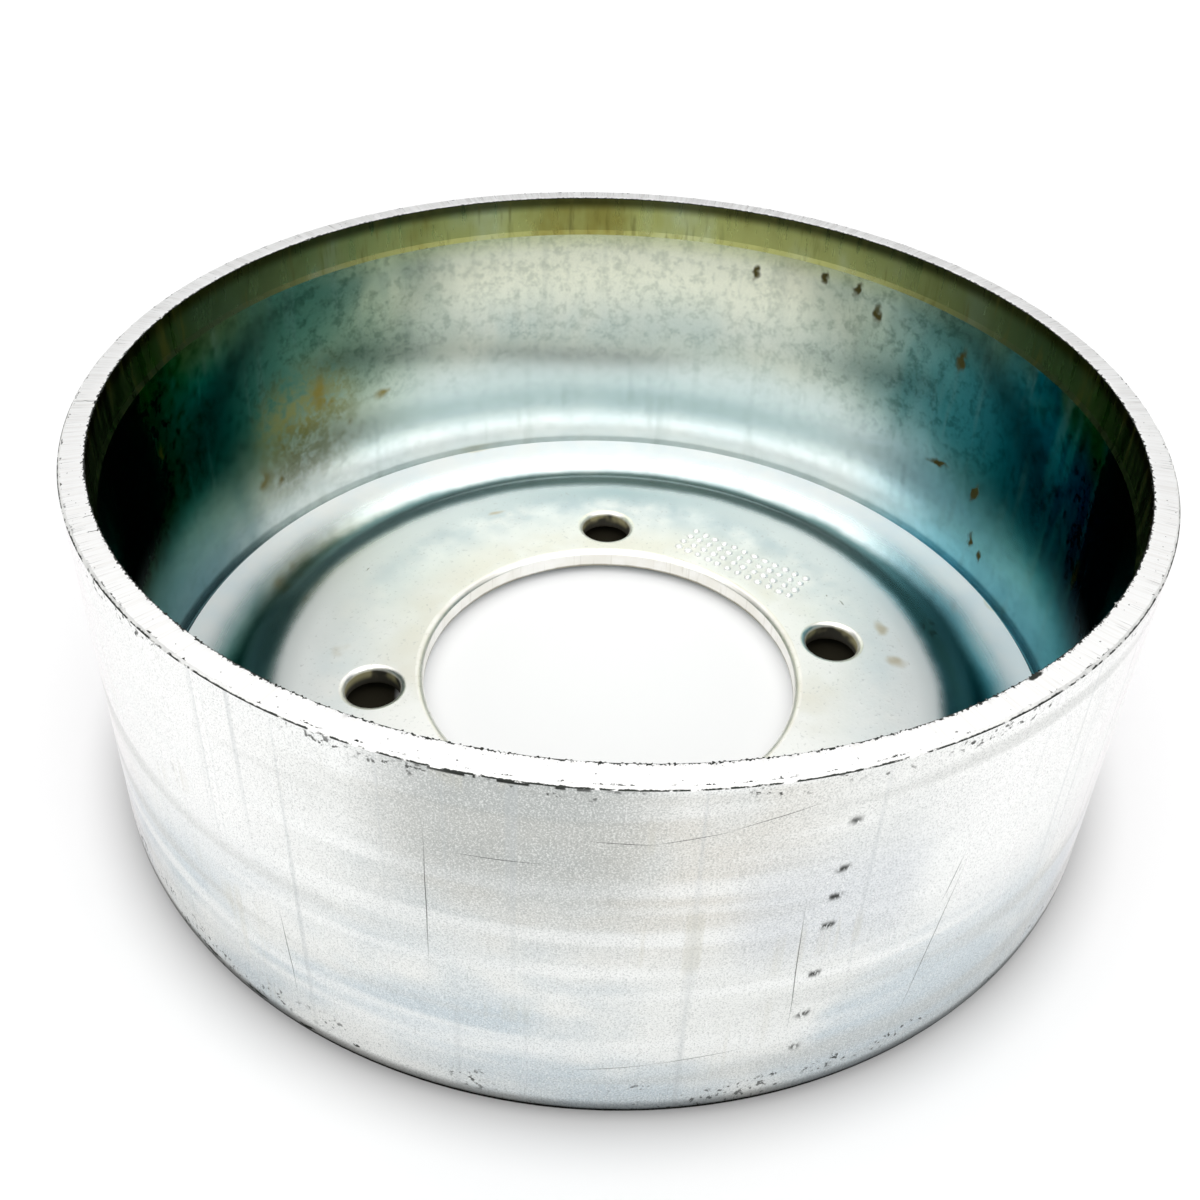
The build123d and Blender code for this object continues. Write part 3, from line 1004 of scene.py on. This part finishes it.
# ---------------------------------------------------------------------------------------
# Camera, floor and light
# ---------------------------------------------------------------------------------------

FLOOR_HALF_WIDTH = 3.0
FLOOR_GAP = 0.02 * MM
FLOOR_SHADE = (0.70, 0.70, 0.70)
COVERED_SHADE = (0.02, 0.018, 0.012)
FLOOR_GLOW = 0.17
BORE_GLOW = 0.27

# The room's shade by the sine of the rise. The window and the panel each have a strength, a soft
# edge in the cosine of the bearing, and soft lower and upper edges in the sine of the rise.
ROOM_BY_RISE = [(0.0, (0.9, 0.9, 0.9)), (0.15, (0.8, 0.8, 0.8)), (0.34, (0.3, 0.31, 0.32)),
                (0.81, (0.32, 0.32, 0.32)), (0.89, (1.8, 1.8, 1.8))]
WINDOW_LIGHT, WINDOW_ROUND, WINDOW_RISE = 1.95, (-0.15, 0.35), ((0.36, 0.46), (0.82, 0.92))
PANEL_LIGHT, PANEL_ROUND, PANEL_RISE = 1.15, (0.2, 0.7), ((0.38, 0.54), (0.82, 0.92))

# The camera looks down into the drum, past its back wall
camera_pitch = 33.743
camera_roll = 2.920
camera_place = Vector((-182.516, -138.593, 211.230)) * MM
camera_lens = 39.255
camera_sensor_width = 36.0
camera_near = 5.0 * MM
camera_shift = (-0.01525, -0.09986)


def place_camera():
    """The camera, aimed by its heading, pitch and roll."""
    forward = Vector((sin(radians(camera_heading)) * cos(radians(camera_pitch)),
                      cos(radians(camera_heading)) * cos(radians(camera_pitch)),
                      -sin(radians(camera_pitch))))
    level_right = forward.cross(Vector((0, 0, 1))).normalized()
    level_up = level_right.cross(forward)
    turn = radians(camera_roll)
    right = cos(turn) * level_right + sin(turn) * level_up
    up = cos(turn) * level_up - sin(turn) * level_right
    lens = bpy.data.cameras.new("camera")
    lens.sensor_width = camera_sensor_width
    lens.lens = camera_lens
    lens.shift_x, lens.shift_y = camera_shift
    lens.clip_start = camera_near
    camera = bpy.data.objects.new("camera", lens)
    facing = Matrix((right, up, -forward)).transposed().to_4x4()
    camera.matrix_world = Matrix.Translation(camera_place) @ facing
    bpy.context.scene.collection.objects.link(camera)
    bpy.context.scene.camera = camera


def white_floor():
    """A matt white floor. What is seen of it directly or in metal is lifted to white by a faint
    glow beside the drum and inside the bore. The glow leaves out a strip round the drum, where its
    shadow lies, and under the web the floor is painted dark as shade."""
    material = bpy.data.materials.new("white_floor")
    material.use_nodes = True
    tree = material.node_tree
    tree.nodes.clear()
    ray = add_node(tree, "ShaderNodeLightPath").outputs
    seen = strongest(tree, ray["Is Camera Ray"], ray["Is Glossy Ray"], ray["Is Transmission Ray"])
    reach = reach_of(tree, add_node(tree, "ShaderNodeTexCoord").outputs["Object"])
    beside = times(tree, spread(tree, reach, OUTER_REACH - 0.75, OUTER_REACH + 11.25), FLOOR_GLOW)
    in_bore = spread(tree, reach, BORE_REACH + 4.0, BORE_REACH, 0.0, BORE_GLOW)
    strength = times(tree, seen, sum_up(tree, "ADD", beside, in_bore))
    glow = add_node(tree, "ShaderNodeEmission", {"Strength": strength})
    # Painted shade: the floor is made dark under the web, where the drum shuts out the light
    shade = painted(tree, FLOOR_SHADE, COVERED_SHADE, spread(tree, reach, BORE_REACH + 5.0, BORE_REACH + 7.0),
                    spread(tree, reach, WEB_BEND_REACH + 5.0, WEB_BEND_REACH + 3.0))
    matt = add_node(tree, "ShaderNodeBsdfDiffuse", {"Color": shade})
    both = add_node(tree, "ShaderNodeAddShader", {0: matt.outputs[0], 1: glow.outputs[0]})
    add_node(tree, "ShaderNodeOutputMaterial", {"Surface": both.outputs[0]})
    # The glow is too faint to be sampled as a lamp, which would only slow the render down
    material.cycles.emission_sampling = "NONE"
    return material


def lay_floor():
    """A wide plain floor, just under the drum's foot ring."""
    signs = [(-1, -1), (1, -1), (1, 1), (-1, 1)]
    corners = [(x * FLOOR_HALF_WIDTH, y * FLOOR_HALF_WIDTH, -FLOOR_GAP) for x, y in signs]
    mesh = bpy.data.meshes.new("floor")
    mesh.from_pydata(corners, [], [(0, 1, 2, 3)])
    mesh.materials.append(white_floor())
    floor = bpy.data.objects.new("floor", mesh)
    bpy.context.scene.collection.objects.link(floor)


def light_studio():
    """A pale room with a wide bright window behind the camera and a softer panel over the far side,
    each soft at its edges. The camera sees the room itself as plain white."""
    world = bpy.data.worlds.new("studio")
    world.use_nodes = True
    tree = world.node_tree
    direction = add_node(tree, "ShaderNodeTexCoord").outputs["Generated"]
    rise = add_node(tree, "ShaderNodeSeparateXYZ", {"Vector": direction}).outputs["Z"]
    facing = nearness(tree, round_of(tree, direction), FRONT)
    room = banded(tree, rise, ROOM_BY_RISE)
    window = soft_panel(tree, facing, rise, WINDOW_ROUND, WINDOW_RISE)
    panel = soft_panel(tree, times(tree, facing, -1.0), rise, PANEL_ROUND, PANEL_RISE)
    room = blended(tree, panel, room, (PANEL_LIGHT,) * 3)
    room = blended(tree, window, room, (WINDOW_LIGHT,) * 3)
    seen = add_node(tree, "ShaderNodeLightPath").outputs["Is Camera Ray"]
    room = blended(tree, seen, room, (1.0, 1.0, 1.0))
    tree.links.new(room, tree.nodes["Background"].inputs["Color"])
    bpy.context.scene.world = world


def soft_panel(tree, facing, rise, around, rises):
    """A mask of a panel of light: its edge in the cosine of the bearing, and its lower and upper
    edges in the sine of the rise."""
    side = spread(tree, facing, *around)
    lower = spread(tree, rise, *rises[0])
    upper = spread(tree, rise, *rises[1], 1.0, 0.0)
    return times(tree, side, times(tree, lower, upper))


bpy.context.scene.view_settings.view_transform = "Standard"
place_camera()
lay_floor()
light_studio()
drum = make_drum()
repeat_shape("peened_dots", peened_dots, PEENED_SIZES, peened_zinc())
repeat_shape("rim_burrs", rim_burrs, BURR_SIZES, drum.data.materials["burred_edge"])
